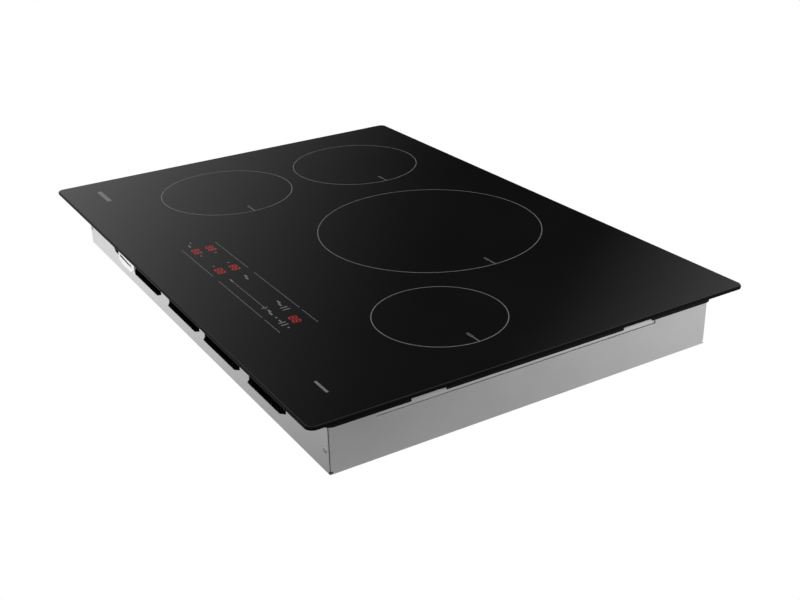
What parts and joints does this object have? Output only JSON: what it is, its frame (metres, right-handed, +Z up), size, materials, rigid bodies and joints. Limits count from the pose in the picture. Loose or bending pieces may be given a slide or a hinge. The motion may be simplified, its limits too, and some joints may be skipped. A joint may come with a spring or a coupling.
{
  "type": "electric induction cooktop",
  "caption": "Drop-in black glass induction cooktop with touch controls: a glass plate on a shallow galvanised box holding sprung coils, power boards and blowers.",
  "frame": {"origin": "on the underside of the box, below the centre of the glass plate", "axes": "+Z up out of the glass; the user stands at -Y; +X to the user's right"},
  "size_m": [0.764, 0.538, 0.0765],
  "materials": {
    "glass": "polished black glass-ceramic",
    "zinc_steel": "galvanised sheet, fine rolled grain",
    "bright_steel": "bright zinc plate",
    "aluminium": "mill finish",
    "black_paint": "matt black",
    "black_plastic": "moulded",
    "silicone": "matt",
    "foam": "closed-cell foam",
    "copper": "enamelled litz",
    "carrier_plastic": "glass-filled",
    "ferrite": "sintered",
    "mica": "laminated mica",
    "ceramic": "glazed",
    "spring_steel": "drawn wire",
    "circuit": "solder mask",
    "component_black": "moulded epoxy",
    "film_yellow": "boxed film capacitor",
    "ribbon": "flat cable",
    "white_plastic": "moulded",
    "display_red": "diffusing lens",
    "wire_red": "silicone sleeve",
    "wire_white": "glass braid sleeve"
  },
  "bodies": {
    "case": {"base_pan": "zinc_steel", "coil_tray": "aluminium", "glass_frame": "black_paint", "glass_bond": "silicone", "rim_seal": "foam", "glass_top": "glass", "springs_front_left": "spring_steel", "springs_rear_left": "spring_steel", "springs_centre": "spring_steel", "springs_right": "spring_steel", "power_board_left": "circuit", "heatsink_left": "aluminium", "power_devices_left": "component_black", "capacitors_left": "film_yellow", "chokes_left": "copper", "blower_housing_left": "black_plastic", "power_board_right": "circuit", "heatsink_right": "aluminium", "power_devices_right": "component_black", "capacitors_right": "film_yellow", "chokes_right": "copper", "blower_housing_right": "black_plastic", "filter_board": "circuit", "filter_parts": "component_black", "control_holder": "black_plastic", "control_board": "circuit", "digit_displays": "display_red", "touch_springs": "spring_steel", "ribbon_cable": "ribbon", "terminal_block": "white_plastic", "conduit_plate": "zinc_steel", "air_grille": "black_plastic", "front_bracket": "bright_steel", "case_rivets": "bright_steel", "tray_screws": "bright_steel", "board_spacers": "white_plastic", "mains_wires": "wire_red", "coil_wires": "wire_white"},
    "coil_front_left": {"winding_front_left": "copper", "carrier_front_left": "carrier_plastic", "ferrites_front_left": "ferrite", "mica_front_left": "mica", "sensor_front_left": "ceramic"},
    "coil_rear_left": {"winding_rear_left": "copper", "carrier_rear_left": "carrier_plastic", "ferrites_rear_left": "ferrite", "mica_rear_left": "mica", "sensor_rear_left": "ceramic"},
    "coil_centre": {"winding_centre": "copper", "carrier_centre": "carrier_plastic", "ferrites_centre": "ferrite", "mica_centre": "mica", "sensor_centre": "ceramic"},
    "coil_right": {"winding_right": "copper", "carrier_right": "carrier_plastic", "ferrites_right": "ferrite", "mica_right": "mica", "sensor_right": "ceramic"},
    "blower_rotor_left": {"blower_rotor_left": "black_plastic"},
    "blower_rotor_right": {"blower_rotor_right": "black_plastic"}
  },
  "joints": [
    {"name": "coil_float_front_left", "type": "slide", "parent": "case", "child": "coil_front_left", "axis": [0, 0, 1], "range_m": [-0.003, 0], "stiffness_N_per_m": 3000, "springref_m": 0.006, "deforming": ["springs_front_left"]},
    {"name": "coil_float_rear_left", "type": "slide", "parent": "case", "child": "coil_rear_left", "axis": [0, 0, 1], "range_m": [-0.003, 0], "stiffness_N_per_m": 3000, "springref_m": 0.006, "deforming": ["springs_rear_left"]},
    {"name": "coil_float_centre", "type": "slide", "parent": "case", "child": "coil_centre", "axis": [0, 0, 1], "range_m": [-0.003, 0], "stiffness_N_per_m": 6000, "springref_m": 0.006, "deforming": ["springs_centre"]},
    {"name": "coil_float_right", "type": "slide", "parent": "case", "child": "coil_right", "axis": [0, 0, 1], "range_m": [-0.003, 0], "stiffness_N_per_m": 2400, "springref_m": 0.006, "deforming": ["springs_right"]},
    {"name": "blower_spin_left", "type": "hinge", "parent": "case", "child": "blower_rotor_left", "pos_m": [-0.09, 0.012, 0.0068], "axis": [0, 0, 1], "continuous": true},
    {"name": "blower_spin_right", "type": "hinge", "parent": "case", "child": "blower_rotor_right", "pos_m": [0.17, 0.012, 0.0068], "axis": [0, 0, 1], "continuous": true}
  ]
}
